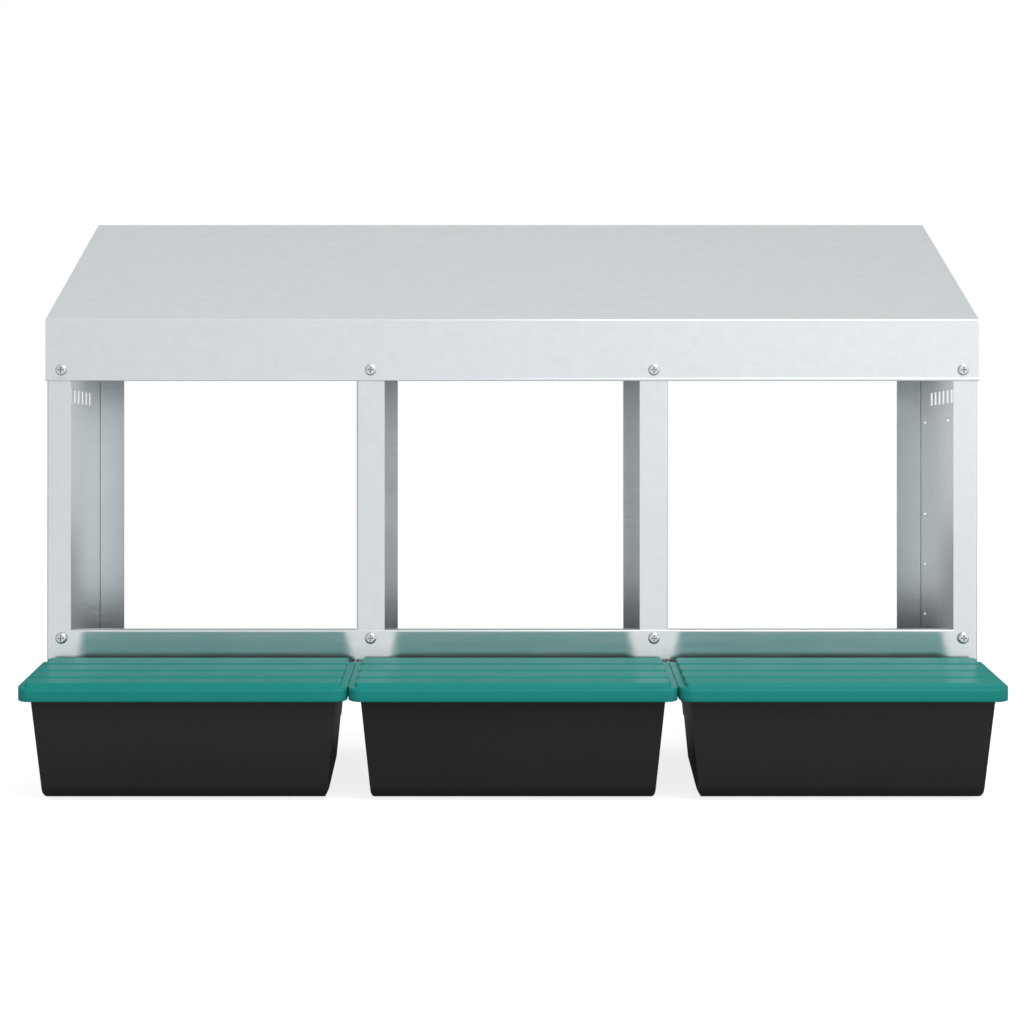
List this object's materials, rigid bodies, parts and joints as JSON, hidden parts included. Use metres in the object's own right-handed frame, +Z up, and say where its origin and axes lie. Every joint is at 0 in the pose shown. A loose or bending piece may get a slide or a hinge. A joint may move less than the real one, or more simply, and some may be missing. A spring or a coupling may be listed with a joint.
{
  "type": "roll-away nesting box for hens",
  "caption": "Galvanised sheet-metal laying nest with open bays under a sloping roof, black roll-away nest trays and ribbed green lids over the egg troughs.",
  "frame": {"origin": "middle of the space the nest takes up, on the floor it stands on", "axes": "+X to the right seen from the front, +Y to the back, +Z up"},
  "size_m": [0.9384, 0.417, 0.5903],
  "materials": {
    "galvanised_sheet": "satin",
    "zinc_fasteners": "satin",
    "black_plastic": "satin",
    "green_plastic": "semi-gloss",
    "green_mat": "matt"
  },
  "bodies": {
    "nest": {"roof_panel": "galvanised_sheet", "side_panel_left": "galvanised_sheet", "side_panel_right": "galvanised_sheet", "partition_left": "galvanised_sheet", "partition_right": "galvanised_sheet", "front_band": "galvanised_sheet", "rear_rail_bottom": "galvanised_sheet", "rear_rail_top": "galvanised_sheet", "fascia_screws": "zinc_fasteners", "fascia_nuts": "zinc_fasteners", "band_screws": "zinc_fasteners", "band_nuts": "zinc_fasteners", "roof_screws_left": "zinc_fasteners", "roof_screws_right": "zinc_fasteners", "roof_nuts_left": "zinc_fasteners", "roof_nuts_right": "zinc_fasteners", "rail_rivets": "zinc_fasteners", "runner_rivets": "zinc_fasteners", "tray_runner_1_left": "galvanised_sheet", "tray_runner_1_right": "galvanised_sheet", "tray_runner_2_left": "galvanised_sheet", "tray_runner_2_right": "galvanised_sheet", "tray_runner_3_left": "galvanised_sheet", "tray_runner_3_right": "galvanised_sheet"},
    "tray_1": {"nest_tray_1": "black_plastic", "nest_mat_1": "green_mat", "lid_hinge_pins_1": "zinc_fasteners"},
    "lid_1": {"egg_lid_1": "green_plastic"},
    "tray_2": {"nest_tray_2": "black_plastic", "nest_mat_2": "green_mat", "lid_hinge_pins_2": "zinc_fasteners"},
    "lid_2": {"egg_lid_2": "green_plastic"},
    "tray_3": {"nest_tray_3": "black_plastic", "nest_mat_3": "green_mat", "lid_hinge_pins_3": "zinc_fasteners"},
    "lid_3": {"egg_lid_3": "green_plastic"}
  },
  "joints": [
    {"name": "tray_slide_1", "type": "slide", "parent": "nest", "child": "tray_1", "axis": [0, -1, 0], "range_m": [0, 0.25]},
    {"name": "lid_hinge_1", "type": "hinge", "parent": "tray_1", "child": "lid_1", "pos_m": [-0.311, -0.0905, 0.113], "axis": [-1, 0, 0], "range_deg": [0, 94]},
    {"name": "tray_slide_2", "type": "slide", "parent": "nest", "child": "tray_2", "axis": [0, -1, 0], "range_m": [0, 0.25]},
    {"name": "lid_hinge_2", "type": "hinge", "parent": "tray_2", "child": "lid_2", "pos_m": [0, -0.0905, 0.113], "axis": [-1, 0, 0], "range_deg": [0, 94]},
    {"name": "tray_slide_3", "type": "slide", "parent": "nest", "child": "tray_3", "axis": [0, -1, 0], "range_m": [0, 0.25]},
    {"name": "lid_hinge_3", "type": "hinge", "parent": "tray_3", "child": "lid_3", "pos_m": [0.311, -0.0905, 0.113], "axis": [-1, 0, 0], "range_deg": [0, 94]}
  ]
}
